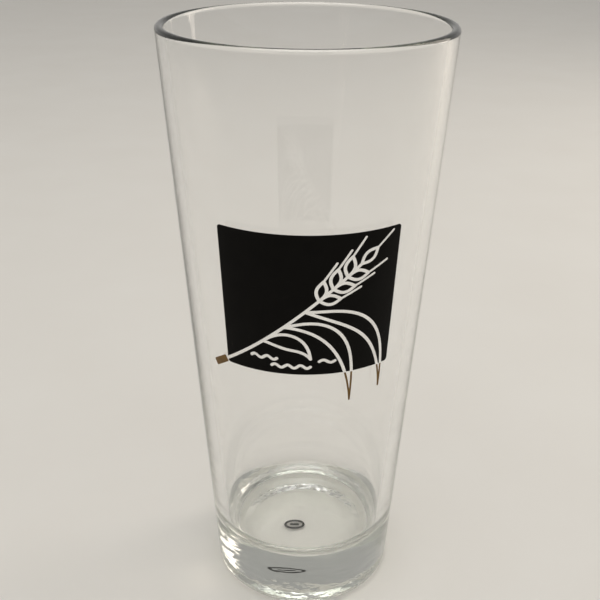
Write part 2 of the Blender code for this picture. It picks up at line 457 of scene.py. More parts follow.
@dataclass(frozen=True)
class BronzeLustre(Finish):
    """Metallic lustre: a very thin film of metal left on the glass by firing.

    It is dark and half dull, browner where the film is thin and brighter where it is thick.
    """

    name: str = "fired_bronze_lustre"
    colours: tuple[str, str] = ("#4a3620", "#8f7348")  # of a thin and of a thick film
    dullness: tuple[float, float] = (0.45, 0.28)  # their roughness
    film_apart: float = 0.6  # mm between thick places

    def surface(self, tree: Tree, place: Socket) -> dict[str, Any]:
        """Adds a half-dull metal.

        Args:
            tree: The material's tree.
            place: The output that carries the place on the piece.

        Returns:
            The output or value for each input of the shader.
        """
        film, colour = uneven(tree, place, self.film_apart, detail=3.0, colours=self.colours)
        roughness = add_node(
            tree,
            "ShaderNodeMapRange",
            {0: film, **NOISE_SPREAD, 3: self.dullness[0], 4: self.dullness[1]},
        )
        return {"Base Color": colour, "Metallic": 1.0, "Roughness": roughness}


@dataclass(frozen=True)
class BackdropPaper(Finish):
    """Seamless studio paper, uncoated and off-white, with a faint fibre cloud."""

    name: str = "backdrop_paper"
    colours: tuple[str, str] = ("#d7d4cf", "#dcdad6")
    roughness: float = 0.9
    sheen: float = 0.2
    cloud_apart: float = 60.0  # mm

    def surface(self, tree: Tree, place: Socket) -> dict[str, Any]:
        """Adds a dull surface.

        Args:
            tree: The material's tree.
            place: The output that carries the place on the piece.

        Returns:
            The output or value for each input of the shader.
        """
        _, colour = uneven(tree, place, self.cloud_apart, detail=5.0, colours=self.colours)
        return {
            "Base Color": colour,
            "Roughness": self.roughness,
            "Specular IOR Level": self.sheen,
        }


# The turned glass ----------------------------------------------------------------------------


def wall_radius(tree: Tree, size: bpy.types.NodeOutputs, level: Socket) -> Socket:
    """Adds the outside radius of the straight wall at a height.

    Args:
        tree: The tree to add to.
        size: The outputs of its input node, with the named sizes.
        level: The output that carries the height.

    Returns:
        The output that carries the radius.
    """
    cone = {1: 0.0, 2: size["Height"], 3: size["Base Radius"], 4: size["Rim Radius"]}
    return add_node(tree, "ShaderNodeMapRange", {0: level, **cone}, clamp=False).outputs[0]


@dataclass
class TurnedGlass:
    """The glass itself, one piece turned round the axis.

    Its profile has eight corners, from the middle of the floor over the lip to the middle of the
    foot, and each but the first and last is rounded.
    """

    height: float
    rim_radius: float = 42 * MM
    base_radius: float = 30.2 * MM
    rim_wall: float = 2.6 * MM
    floor_wall: float = 4.4 * MM
    floor_height: float = 17.8 * MM
    floor_corner: float = 8.5 * MM
    lip_round: float = 1.2 * MM
    heel_round: float = 3 * MM
    foot_width: float = 3 * MM
    foot_edge: float = 0.8 * MM
    punt_depth: float = 0.8 * MM
    punt_slope: float = 4 * MM
    punt_round: float = 4 * MM
    turns: int = 192  # flats round the glass
    arc_points: int = 14  # points of each rounded corner

    def outer_radius(self, z: float) -> float:
        """The outside radius of the straight wall at a height."""
        return self.base_radius + (self.rim_radius - self.base_radius) * z / self.height

    def profile_tree(self, tree: Tree, sizes: bpy.types.Node) -> Socket:
        """Adds the nodes that draw the rounded profile.

        Args:
            tree: The tree to add to.
            sizes: Its input node, with the named sizes.

        Returns:
            The output that carries the profile as a curve in the XZ plane.
        """
        size = sizes.outputs
        steps_in = {
            "floor": (wall_radius(tree, size, size["Floor Height"]), size["Floor Wall"]),
            "mouth": (size["Rim Radius"], size["Rim Wall"]),
            "heel": (size["Base Radius"], size["Heel Round"]),
            "foot": ("heel", size["Foot Width"]),
            "punt": ("foot", size["Punt Slope"]),
        }
        radius: dict[str, bpy.types.Node] = {}
        for name, (start, inset) in steps_in.items():
            outer = radius[start] if isinstance(start, str) else start
            radius[name] = add_node(
                tree, "ShaderNodeMath", {0: outer, 1: inset}, operation="SUBTRACT"
            )
        corners = [
            (0.0, size["Floor Height"], 0.0),
            (radius["floor"], size["Floor Height"], size["Floor Corner"]),
            (radius["mouth"], size["Height"], size["Lip Round"]),
            (size["Rim Radius"], size["Height"], size["Lip Round"]),
            (size["Base Radius"], 0.0, size["Heel Round"]),
            (radius["foot"], 0.0, size["Foot Edge"]),
            (radius["punt"], size["Punt Depth"], size["Punt Round"]),
            (0.0, size["Punt Depth"], 0.0),
        ]
        index = add_node(tree, "GeometryNodeInputIndex")
        place = add_node(tree, "GeometryNodeIndexSwitch", {0: index}, data_type="VECTOR")
        rounding = add_node(tree, "GeometryNodeIndexSwitch", {0: index}, data_type="FLOAT")
        for number, (across, up, arc) in enumerate(corners):
            for switch in (place, rounding):
                if number >= len(switch.index_switch_items):
                    switch.index_switch_items.new()
            corner = add_node(tree, "ShaderNodeCombineXYZ", {0: across, 2: up})
            tree.links.new(corner.outputs[0], place.inputs[number + 1])
            if isinstance(arc, float):
                rounding.inputs[number + 1].default_value = arc
            else:
                tree.links.new(arc, rounding.inputs[number + 1])
        row = add_node(tree, "GeometryNodeMeshLine", {"Count": len(corners)})
        drawn = add_node(tree, "GeometryNodeSetPosition", {"Geometry": row, "Position": place})
        curve = add_node(tree, "GeometryNodeMeshToCurve", {0: drawn})
        return add_node(
            tree,
            "GeometryNodeFilletCurve",
            {
                "Curve": curve,
                "Count": size["Arc Points"],
                "Radius": rounding,
                "Limit Radius": True,
            },
            mode="POLY",
        ).outputs[0]

    def turning_tree(self) -> Tree:
        """Makes the tree that turns the profile round the axis.

        Returns:
            A tree with a named input for each size. It sets every point of a grid to a point of
            the profile, turned, then welds the seam and the two poles.
        """
        kinds = {
            name: "Int" if isinstance(value, int) else "Float"
            for name, value in self.sizes().items()
        }
        tree, sizes = new_tree("turned_glass", {"Start": "Geometry", **kinds, "Glass": "Material"})
        profile = self.profile_tree(tree, sizes)
        count = add_node(
            tree, "GeometryNodeAttributeDomainSize", {0: profile}, component="CURVE"
        ).outputs["Point Count"]
        columns = add_node(
            tree, "ShaderNodeMath", {0: sizes.outputs["Turns"], 1: 1.0}, operation="ADD"
        )
        sheet = add_node(
            tree, "GeometryNodeMeshGrid", {"Vertices X": count, "Vertices Y": columns}
        )
        index = add_node(tree, "GeometryNodeInputIndex")
        along = add_node(tree, "ShaderNodeMath", {0: index, 1: columns}, operation="DIVIDE")
        row = add_node(tree, "ShaderNodeMath", {0: along}, operation="FLOOR")
        column = add_node(tree, "ShaderNodeMath", {0: index, 1: columns}, operation="MODULO")
        angle = add_node(
            tree,
            "ShaderNodeMapRange",
            {0: column, 1: 0.0, 2: sizes.outputs["Turns"], 3: 0.0, 4: 2 * math.pi},
        )
        point = add_node(
            tree,
            "GeometryNodeSampleIndex",
            {"Geometry": profile, 1: add_node(tree, "GeometryNodeInputPosition"), "Index": row},
            data_type="FLOAT_VECTOR",
            domain="POINT",
        )
        spun = add_node(
            tree,
            "ShaderNodeVectorRotate",
            {"Vector": point, "Axis": (0, 0, 1), "Angle": angle},
            rotation_type="AXIS_ANGLE",
        )
        placed = add_node(
            tree, "GeometryNodeSetPosition", {"Geometry": sheet.outputs["Mesh"], "Position": spun}
        )
        welded = add_node(
            tree, "GeometryNodeMergeByDistance", {"Geometry": placed, "Distance": SAME_POINT}
        )
        smooth = add_node(tree, "GeometryNodeSetShadeSmooth", {0: welded})
        close_tree(tree, smooth, sizes.outputs["Glass"])
        return tree

    def sizes(self) -> dict[str, float]:
        """The value of each named size of the tree, from the field of the same name."""
        names = [item.name for item in fields(self)]
        return {name.replace("_", " ").title(): getattr(self, name) for name in names}

    def build(self, glass: bpy.types.Material) -> Piece:
        """Turns the glass.

        Args:
            glass: Its material.

        Returns:
            The glass as a closed mesh whose long straight faces set the shading of their edges.
        """
        start = bpy.data.meshes.new("start")
        values = {**self.sizes(), "Glass": glass}
        piece = grown("turned_glass", start, self.turning_tree(), values)
        shading = piece.modifiers.new("straight_walls", "WEIGHTED_NORMAL")
        shading.mode = "FACE_AREA"
        shading.weight = 100  # the larger face has all the say
        freeze(piece)
        return piece

    def dress(self, piece: Piece) -> None:
        """Puts the glass in place of its CAD node."""
        settle(piece, GLASS_NODE)


# The print -----------------------------------------------------------------------------------


def bezier(points: Sequence[Vector], steps: int) -> Line:
    """Points along a cubic Bezier curve.

    Args:
        points: Its start, two handles and end.
        steps: How many equal steps to take.

    Returns:
        One point more than there are steps.
    """
    a, b, c, d = points
    line = []
    for step in range(steps + 1):
        t = step / steps
        s = 1 - t
        line.append(a * s**3 + b * (3 * s * s * t) + c * (3 * s * t * t) + d * t**3)
    return line


def sides(line: Line, half_width: Callable[[float], float]) -> tuple[Line, Line]:
    """Finds the two lines that run beside a line.

    Args:
        line: The centre line.
        half_width: The distance to each side at a share of the line from 0 to 1.

    Returns:
        The line on the left and the line on the right.
    """
    left, right = [], []
    last = len(line) - 1
    for i, point in enumerate(line):
        along = (line[min(i + 1, last)] - line[max(i - 1, 0)]).normalized()
        across = Vector((-along.y, along.x)) * half_width(i / last)
        left.append(point + across)
        right.append(point - across)
    return left, right


def spindle(width: float, taper: float = 1.0) -> Callable[[float], float]:
    """The half width along a shape this wide in its middle, which ends in points."""
    return lambda t: width / 2 * max(0, math.sin(math.pi * t)) ** taper


def turned(angle: float, length: float) -> Vector:
    """A step in the flat drawing."""
    return Vector((math.cos(angle), math.sin(angle))) * length


def stroke(line: Line, width: float, end_steps: int = 14) -> Line:
    """Draws a line with a round pen.

    Args:
        line: The pen's way.
        width: The pen's width.
        end_steps: How many steps each round end takes.

    Returns:
        The closed outline of the mark.
    """
    left, right = sides(line, lambda t: width / 2)
    outline = []
    for side, end, before in ((right, line[-1], line[-2]), (left[::-1], line[0], line[1])):
        outline += side
        heading = math.atan2(*(end - before).yx)
        for step in range(1, end_steps):
            angle = heading - math.pi / 2 + math.pi * step / end_steps
            outline.append(end + turned(angle, width / 2))
    return outline


def rounded(corners: Sequence[Vector], radius: float, steps: int = 10) -> Line:
    """Rounds the corners of an outline.

    Args:
        corners: The corners, in order.
        radius: The radius of each corner.
        steps: How many steps each corner takes.

    Returns:
        The closed outline.
    """
    outline = []
    for i, corner in enumerate(corners):
        to_last = (corners[i - 1] - corner).normalized()
        to_next = (corners[(i + 1) % len(corners)] - corner).normalized()
        half = to_last.angle(to_next) / 2
        centre = corner + (to_last + to_next).normalized() * radius / math.sin(half)
        start = corner + to_last * radius / math.tan(half) - centre
        turn = start.angle_signed(corner + to_next * radius / math.tan(half) - centre)
        for step in range(steps + 1):
            outline.append(centre + Matrix.Rotation(-turn * step / steps, 2) @ start)
    return outline


@dataclass
class Patch:
    """A flat patch of print, cut out of a drawing."""

    points: Line
    triangles: list[Triangle]

    def holds(self, spot: Vector) -> bool:
        """Tests a spot of the drawing.

        Args:
            spot: The spot.

        Returns:
            Whether it lies in the patch.
        """
        return any(
            intersect_point_tri_2d(spot, *(self.points[i] for i in triangle))
            for triangle in self.triangles
        )

    def mesh(self) -> bpy.types.Mesh:
        """Makes the patch as a flat mesh.

        Returns:
            A mesh with only the patch's own points.
        """
        used = sorted({i for triangle in self.triangles for i in triangle})
        number = {old: new for new, old in enumerate(used)}
        mesh = bpy.data.meshes.new("patch")
        mesh.from_pydata(
            [(*self.points[i], 0) for i in used],
            [],
            [[number[i] for i in triangle] for triangle in self.triangles],
        )
        return mesh


def joined(triangles: list[Triangle]) -> Iterator[list[Triangle]]:
    """Sorts triangles into groups that hang together by their edges.

    Args:
        triangles: The triangles.

    Yields:
        One group after another.
    """
    by_edge: dict[frozenset[int], list[int]] = {}
    for index, triangle in enumerate(triangles):
        for i in range(3):
            by_edge.setdefault(frozenset((triangle[i - 1], triangle[i])), []).append(index)
    left = dict.fromkeys(range(len(triangles)))
    while left:
        todo = [next(iter(left))]
        del left[todo[0]]
        group = []
        while todo:
            triangle = triangles[todo.pop()]
            group.append(triangle)
            for i in range(3):
                for other in by_edge[frozenset((triangle[i - 1], triangle[i]))]:
                    if other in left:
                        del left[other]
                        todo.append(other)
        yield group


def cut_patches(
    outlines: Sequence[Line], inked: Callable[[set[int]], bool], bends: Sequence[float] = ()
) -> list[Patch]:
    """Cuts the plane along some outlines into its separate patches of print.

    Args:
        outlines: The outlines.
        inked: Whether ink lies where the outlines with these numbers overlap.
        bends: Places across the plane where each patch gets an edge to bend at.

    Returns:
        The patches.
    """
    far = 2 * max(abs(point.y) for outline in outlines for point in outline)
    points: Line = []
    faces = []
    for outline in outlines:
        faces.append(range(len(points), len(points) + len(outline)))
        points += outline
    edges = [(len(points) + 2 * i, len(points) + 2 * i + 1) for i in range(len(bends))]
    for x in bends:
        points += [Vector((x, -far)), Vector((x, far))]
    inside_only = 1
    corners, _, pieces, _, _, owners = delaunay_2d_cdt(
        points, edges, faces, inside_only, SAME_POINT, True
    )
    triangles = [t for t, owner in zip(pieces, owners) if owner and inked(set(owner))]
    return [Patch(corners, group) for group in joined(triangles)]


def fired_tree() -> Tree:
    """Makes the tree that gives a flat patch its thickness.

    Returns:
        A tree whose result lies from Sink below the drawing's plane to Proud above it, closed.
    """
    tree, given = new_tree("fired_patch", {"Patch": "Geometry", "Sink": "Float", "Proud": "Float"})
    patch, sink, proud = given.outputs[:3]
    depth = add_node(tree, "ShaderNodeMath", {0: sink, 1: proud}, operation="ADD")
    raised = add_node(
        tree,
        "GeometryNodeExtrudeMesh",
        {"Mesh": patch, "Offset": (0, 0, 1), "Offset Scale": depth, "Individual": False},
    )
    back = add_node(tree, "GeometryNodeFlipFaces", {"Mesh": patch})
    both = add_node(tree, "GeometryNodeJoinGeometry", {"Geometry": raised.outputs["Mesh"]})
    tree.links.new(back.outputs[0], both.inputs[0])
    welded = add_node(tree, "GeometryNodeMergeByDistance", {0: both, "Distance": SAME_PATCH_POINT})
    down = add_node(tree, "ShaderNodeMath", {0: 0.0, 1: sink}, operation="SUBTRACT")
    offset = add_node(tree, "ShaderNodeCombineXYZ", {2: down})
    sunk = add_node(tree, "GeometryNodeSetPosition", {"Geometry": welded, "Offset": offset})
    add_node(tree, "NodeGroupOutput", {0: sunk})
    return tree


@dataclass
class BarleyDrawing:
    """The drawing of an ear of barley, which the black panel leaves clear.

    Its points are shares of the panel's half width and half height, from the panel's middle.
    """

    height: float
    width: float = 51.9 * MM  # measured round the glass at the panel's middle
    panel_corner: float = 1 * MM
    line: float = 0.95 * MM  # lines left clear in the black
    awn_line: float = 0.7 * MM  # the finer lines of the bristles
    bronze_line: float = 0.6 * MM
    stub_width: float = 2.3 * MM
    stub_length: float = 6 * MM
    clearance: float = 0.3 * MM  # between the panel and the bronze
    ear_aspect: float = 0.845
    ear_pitch: float = 0.235  # from one pair of grains to the next
    grain_pairs: int = 3
    grain_length: float = 0.275
    grain_width: float = 0.128
    awn_length: float = 0.29
    leaf_width: float = 0.215
    leaf_taper: float = 1.15  # above 1, a leaf narrows sooner towards its root and tip
    furrow_height: float = 0.022
    grain_turn: float = math.radians(38)
    awn_turn: float = math.radians(15)
    stem: tuple[tuple[float, float], ...] = (
        (-1.02, -0.96),
        (-0.62, -0.66),
        (-0.24, -0.26),
        (0.10, 0.10),
    )
    # Each leaf's place on the stem as a share of it, and the rest of its centre line.
    leaves: dict[str, tuple[float, tuple[tuple[float, float], ...]]] = field(
        default_factory=lambda: {
            "short_leaf": (6 / 14, ((-0.36, -0.48), (-0.08, -0.46), (0.02, -0.76))),
            "middle_leaf": (9 / 14, ((0.14, -0.22), (0.48, -0.40), (0.50, -1.46))),
            "outer_leaf": (12 / 14, ((0.34, -0.16), (0.88, -0.12), (0.90, -1.36))),
        }
    )
    # Each wavy line's start, end and height, and its number of waves.
    furrows: tuple[tuple[float, float, float, int], ...] = (
        (-0.66, -0.36, -0.77, 2),
        (-0.42, 0.02, -0.88, 3),
        (0.12, 0.30, -0.80, 1),
    )
    between_leaves: float = 0.68  # share of the two longer leaves where the panel parts them
    curve_steps: int = 70
    wave_steps: int = 28

    def on_panel(self, points: Sequence[tuple[float, float]]) -> Line:
        """Points given in shares of the panel's half sizes, in metres from its middle."""
        return [Vector((u * self.width / 2, v * self.height / 2)) for u, v in points]

    def drawn(self, share: float) -> float:
        """A size in the drawing, in metres."""
        return share * min(self.width / 2 * self.ear_aspect, self.height / 2)

    def panel(self, grow: float = 0.0) -> Line:
        """Draws the panel.

        Args:
            grow: How far to grow it on all sides.

        Returns:
            Its outline, a rectangle with rounded corners.
        """
        across, up = self.width / 2 + grow, self.height / 2 + grow
        corners = [Vector(c) for c in ((-across, -up), (across, -up), (across, up), (-across, up))]
        return rounded(corners, self.panel_corner + grow)

    def stem_line(self) -> Line:
        """The stem's centre line up to the ear."""
        return bezier(self.on_panel(self.stem), self.curve_steps)

    def leaf_sides(self, name: str) -> tuple[Line, Line]:
        """Draws a leaf.

        Args:
            name: The leaf's name.

        Returns:
            Its two edges, which meet at its root on the stem and at its tip.
        """
        share, others = self.leaves[name]
        root = self.stem_line()[round(share * self.curve_steps)]
        centre = bezier([root, *self.on_panel(others)], 2 * self.curve_steps)
        return sides(centre, spindle(self.drawn(self.leaf_width), self.leaf_taper))

    def heading(self) -> float:
        """The direction in which the stem ends and the ear goes on."""
        before, end = self.on_panel(self.stem)[-2:]
        return math.atan2(*(end - before).yx)

    def ear_place(self, pair: int) -> Vector:
        """Where a pair of grains sits on the ear's axis."""
        start = self.on_panel(self.stem)[-1]
        return start + turned(self.heading(), self.drawn(self.ear_pitch) * pair)

    def grains(self) -> Iterator[tuple[str, Vector, float]]:
        """Goes through the grains.

        Yields:
            Each grain's name, root and lean from the ear's axis.
        """
        yield "grain_tip", self.ear_place(self.grain_pairs), 0.0
        for pair in range(self.grain_pairs):
            for side, lean in (("upper", self.grain_turn), ("lower", -self.grain_turn)):
                yield f"grain_{side}_{pair + 1}", self.ear_place(pair), lean

    def grain_sides(self, root: Vector, lean: float) -> tuple[Line, Line]:
        """Draws a grain.

        Args:
            root: Where it sits on the ear.
            lean: Its lean from the ear's axis.

        Returns:
            Its two sides.
        """
        tip = root + turned(self.heading() + lean, self.drawn(self.grain_length))
        centre = [root.lerp(tip, i / self.curve_steps) for i in range(self.curve_steps + 1)]
        return sides(centre, spindle(self.drawn(self.grain_width)))

    def awn(self, root: Vector, lean: float) -> Line:
        """Draws the bristle on a grain's tip.

        Args:
            root: Where the grain sits on the ear.
            lean: The grain's lean from the ear's axis.

        Returns:
            The bristle's two ends.
        """
        tip = root + turned(self.heading() + lean, self.drawn(self.grain_length))
        spread = math.copysign(self.awn_turn, lean) if lean else 0
        return [tip, tip + turned(self.heading() + spread, self.drawn(self.awn_length))]

    def furrow(self, start: float, end: float, height: float, waves: int) -> Line:
        """Draws a short wavy line.

        Args:
            start: Where it starts, across the panel.
            end: Where it ends, across the panel.
            height: Its height on the panel.
            waves: How many waves it has.

        Returns:
            The line.
        """
        steps = waves * self.wave_steps
        line = []
        for step in range(steps + 1):
            t = step / steps
            rise = self.drawn(self.furrow_height) * math.sin(2 * math.pi * waves * t)
            point = self.on_panel([(start + (end - start) * t, height)])[0]
            line.append(point + Vector((0, rise)))
        return line

    def clear_lines(self) -> list[Line]:
        """Draws all the lines left clear in the black panel.

        Returns:
            Their outlines.
        """
        outlines = [stroke([*self.stem_line(), self.ear_place(self.grain_pairs)], self.line)]
        for name in self.leaves:
            outlines += [stroke(side, self.line) for side in self.leaf_sides(name)]
        for _, root, lean in self.grains():
            outlines += [stroke(side, self.line) for side in self.grain_sides(root, lean)]
            outlines.append(stroke(self.awn(root, lean), self.awn_line))
        outlines += [stroke(self.furrow(*furrow), self.line) for furrow in self.furrows]
        return outlines

    def spots(self) -> dict[str, Vector]:
        """Finds a place inside each patch of the black print.

        Returns:
            The places by the patch's name.
        """
        spots = {
            "panel_above_stem": self.on_panel([(-0.5, 0.6)])[0],
            "panel_below_stem": self.on_panel([(-0.72, -0.90)])[0],
        }
        for name in self.leaves:
            left, right = self.leaf_sides(name)
            third = len(left) // 3
            spots[name] = left[third].lerp(right[third], 0.5)
        middle = self.leaf_sides("middle_leaf")[0]
        outer = self.leaf_sides("outer_leaf")[1]
        low_down = round(len(middle) * self.between_leaves)
        spots["panel_between_leaves"] = middle[low_down].lerp(outer[low_down], 0.5)
        for name, root, lean in self.grains():
            spots[name] = root + turned(self.heading() + lean, self.drawn(self.grain_length) / 2)
        return spots

    def bronze_lines(self) -> dict[str, list[Line]]:
        """Draws the bronze strokes, which carry on where the panel ends.

        Returns:
            The outlines of each stroke, by its name.
        """
        lines = {
            f"{name}_tip": [stroke(side, self.bronze_line) for side in self.leaf_sides(name)]
            for name in ("middle_leaf", "outer_leaf")
        }
        root, after = self.stem_line()[:2]
        end = root + (root - after).normalized() * self.stub_length
        left, right = sides([root, end], lambda t: self.stub_width / 2)
        corner_radius = self.stub_width / 6
        lines["stem_stub"] = [rounded([*right, *left[::-1]], corner_radius)]
        return lines


@dataclass
class WallPrint:
    """The print on the wall: the black panel's patches of enamel and the bronze strokes."""

    glass: TurnedGlass
    drawing: BarleyDrawing
    middle: float  # height of the panel's middle above the table
    bend: float = math.radians(2.5)  # turn from one edge of the print to the next
    sink: float = 0.03 * MM  # how far firing melts the print into the glass
    proud: float = 0.05 * MM
    face_limit: float = 0.7  # cosine of the tilt past which a face is part of the print's edge

    def middle_radius(self) -> float:
        """The glass's radius at the panel's middle, where the flat drawing has its true width."""
        return self.glass.outer_radius(self.middle)

    def bends(self, outlines: Sequence[Line]) -> list[float]:
        """Finds where the flat drawing bends.

        Args:
            outlines: The outlines of the drawing.

        Returns:
            The places across it.
        """
        step = self.bend * self.middle_radius()
        reach = max(abs(point.x) for outline in outlines for point in outline)
        most = math.floor(reach / step)
        return [i * step for i in range(-most, most + 1)]

    def patches(self) -> Iterator[tuple[str, Slot, Patch]]:
        """Cuts the print.

        Yields:
            Each patch's name, its material slot and the patch.
        """
        outlines = [self.drawing.panel(), *self.drawing.clear_lines()]
        spots = self.drawing.spots()
        for patch in cut_patches(outlines, lambda owners: owners == {0}, self.bends(outlines)):
            name = next((name for name, spot in spots.items() if patch.holds(spot)), None)
            if name is None:
                log.warning("a spare patch of %d triangles is left out", len(patch.triangles))
                continue
            yield name, Slot.BLACK, patch
        for name, strokes in self.drawing.bronze_lines().items():
            outlines = [self.drawing.panel(self.drawing.clearance), *strokes]
            for patch in cut_patches(outlines, lambda o: 0 not in o, self.bends(outlines)):
                yield name, Slot.BRONZE, patch

    def wrapping_tree(self, fired: Tree) -> Tree:
        """Makes the tree that fires a flat patch and wraps it round the cone.

        Args:
            fired: The tree that gives a patch its thickness.

        Returns:
            A tree with a named input for each size of the cone and the print.
        """
        sizes = ("Sink", "Proud", "Height", "Base Radius", "Rim Radius", "Middle")
        tree, given = new_tree(
            "wrapped_patch",
            {"Patch": "Geometry", **{name: "Float" for name in sizes}, "Ink": "Material"},
        )
        size = given.outputs
        solid = add_node(
            tree,
            "GeometryNodeGroup",
            {0: size["Patch"], 1: size["Sink"], 2: size["Proud"]},
            node_tree=fired,
        )
        flat = add_node(
            tree, "ShaderNodeSeparateXYZ", {0: add_node(tree, "GeometryNodeInputPosition")}
        ).outputs
        height = add_node(tree, "ShaderNodeMath", {0: flat[1], 1: size["Middle"]}, operation="ADD")
        radius = wall_radius(tree, size, height)
        middle_radius = wall_radius(tree, size, size["Middle"])
        angle = add_node(
            tree, "ShaderNodeMath", {0: flat[0], 1: middle_radius}, operation="DIVIDE"
        )
        out = add_node(tree, "ShaderNodeMath", {0: radius, 1: flat[2]}, operation="ADD")
        # A point straight ahead, at -Y, is turned to its place round the axis.
        ahead = add_node(
            tree,
            "ShaderNodeCombineXYZ",
            {
                1: add_node(tree, "ShaderNodeMath", {0: 0.0, 1: out}, operation="SUBTRACT"),
                2: height,
            },
        )
        place = add_node(
            tree,
            "ShaderNodeVectorRotate",
            {"Vector": ahead, "Axis": (0, 0, 1), "Angle": angle},
            rotation_type="AXIS_ANGLE",
        )
        wrapped = add_node(tree, "GeometryNodeSetPosition", {"Geometry": solid, "Position": place})
        close_tree(tree, wrapped, size["Ink"])
        return tree

    def shade(self, mesh: bpy.types.Mesh) -> None:
        """Gives the print's front and back the cone's own normals, so it mirrors as one surface.

        Args:
            mesh: A wrapped patch, whose normals are set.
        """
        glass = self.glass
        slope = (glass.rim_radius - glass.base_radius) / glass.height
        mesh.shade_smooth()
        normals = []
        for face in mesh.polygons:
            for corner in face.loop_indices:
                point = mesh.vertices[mesh.loops[corner].vertex_index].co
                out = Vector((*point.xy.normalized(), -slope)).normalized()
                facing = face.normal.dot(out)
                flat = abs(facing) > self.face_limit
                normals.append(math.copysign(1, facing) * out if flat else face.normal)
        mesh.normals_split_custom_set(normals)

    def build(self, inks: Mapping[Slot, bpy.types.Material]) -> Iterator[Piece]:
        """Prints the wall.

        Args:
            inks: The material of each slot.

        Yields:
            Each patch of print, in its place and settled on the frame.
        """
        tree = self.wrapping_tree(fired_tree())
        for name, slot, patch in self.patches():
            values = {
                "Sink": self.sink,
                "Proud": self.proud,
                "Height": self.glass.height,
                "Base Radius": self.glass.base_radius,
                "Rim Radius": self.glass.rim_radius,
                "Middle": self.middle,
                "Ink": inks[slot],
            }
            piece = grown(f"fired_{name}", patch.mesh(), tree, values)
            self.shade(piece.data)
            settle(piece, name)
            yield piece


@dataclass
class BaseMark:
    """The mark in the hollow under the base: an oval ring with a bar in it, and no lettering."""

    ceiling: float  # height of the hollow's flat
    place: tuple[float, float] = (-3 * MM, 1.2 * MM)
    length: float = 7.6 * MM
    width: float = 4.8 * MM
    line: float = 0.9 * MM
    bar: float = 2.6 * MM
    sink: float = 0.03 * MM
    proud: float = 0.05 * MM
    oval_steps: int = 96

    def oval(self, inset: float) -> Line:
        """Draws the oval.

        Args:
            inset: How far to draw it in from its edge.

        Returns:
            Its outline.
        """
        across, along = self.length / 2 - inset, self.width / 2 - inset
        turns = [2 * math.pi * i / self.oval_steps for i in range(self.oval_steps)]
        return [Vector((math.cos(t) * across, math.sin(t) * along)) for t in turns]

    def build(self, ink: bpy.types.Material) -> Iterator[Piece]:
        """Prints the mark.

        Args:
            ink: Its material.

        Yields:
            The ring and the bar, each in its place.
        """
        half = Vector((self.bar / 2, 0))
        outlines = [self.oval(0), self.oval(self.line), stroke([-half, half], self.line)]
        tree = self.printing_tree(fired_tree())
        for patch in cut_patches(outlines, lambda owners: owners != {0, 1}):
            name = "underside_bar" if patch.holds(Vector((0, 0))) else "underside_ring"
            values = {"Sink": self.sink, "Proud": self.proud, "Ink": ink}
            values["Place"] = (*self.place, self.ceiling)
            piece = grown(f"fired_{name}", patch.mesh(), tree, values)
            settle(piece, name)
            yield piece

    def printing_tree(self, fired: Tree) -> Tree:
        """Makes the tree that fires a flat patch on to a ceiling, face down.

        Args:
            fired: The tree that gives a patch its thickness.

        Returns:
            A tree with named inputs for the thickness and the place.
        """
        tree, given = new_tree(
            "patch_under_base",
            {
                "Patch": "Geometry",
                "Sink": "Float",
                "Proud": "Float",
                "Place": "Vector",
                "Ink": "Material",
            },
        )
        size = given.outputs
        # The drawing's front looks up, so what is proud above it and sunk below it change places.
        solid = add_node(
            tree,
            "GeometryNodeGroup",
            {0: size["Patch"], 1: size["Proud"], 2: size["Sink"]},
            node_tree=fired,
        )
        placed = add_node(
            tree, "GeometryNodeSetPosition", {"Geometry": solid, "Offset": size["Place"]}
        )
        close_tree(tree, placed, size["Ink"])
        return tree


# The studio ----------------------------------------------------------------------------------


@dataclass(frozen=True)
class Softbox:
    """A soft oval lamp that looks at a point."""

    name: str
    place: tuple[float, float, float]
    target: tuple[float, float, float]
    size: tuple[float, float]
    power: float  # watts
    colour: str

    def build(self) -> None:
        """Puts up the lamp."""
        lamp = bpy.data.lights.new(self.name, "AREA")
        lamp.shape = "ELLIPSE"
        lamp.size, lamp.size_y = self.size
        lamp.energy = self.power
        lamp.color = linear(self.colour)[:3]
        stand = bpy.data.objects.new(self.name, lamp)
        stand.location = self.place
        way = Vector(self.target) - Vector(self.place)
        stand.rotation_euler = way.to_track_quat("-Z", "Y").to_euler()
        bpy.context.scene.collection.objects.link(stand)


@dataclass(frozen=True)
class Viewpoint:
    """The camera's place and aim. Its angles are in degrees."""

    place: tuple[float, float, float] = (-0.00857, -0.24781, 0.22349)
    heading: float = 1.85  # from +Y towards +X
    down: float = 26.38
    roll: float = 0.52
    lens: float = 52.07  # mm
    sensor: float = 36.0  # mm
    nearest: float = 10 * MM  # what is closer to the camera isn't seen
    shift: tuple[float, float] = (-0.005, 0.0)  # share of the frame's side

    def build(self) -> None:
        """Sets up the scene's camera."""
        data = bpy.data.cameras.new("camera")
        data.sensor_width = self.sensor
        data.lens = self.lens
        data.clip_start = self.nearest
        data.shift_x, data.shift_y = self.shift
        turn, dip, roll = (math.radians(a) for a in (self.heading, self.down, self.roll))
        ahead = Vector(
            (math.sin(turn) * math.cos(dip), math.cos(turn) * math.cos(dip), -math.sin(dip))
        )
        level = Vector((math.cos(turn), -math.sin(turn), 0))
        upright = level.cross(ahead)
        right = level * math.cos(roll) + upright * math.sin(roll)
        above = upright * math.cos(roll) - level * math.sin(roll)
        camera = bpy.data.objects.new("camera", data)
        axes = Matrix((right, above, -ahead)).transposed()
        camera.matrix_world = Matrix.LocRotScale(self.place, axes.to_quaternion(), None)
        bpy.context.scene.collection.objects.link(camera)
        bpy.context.scene.camera = camera


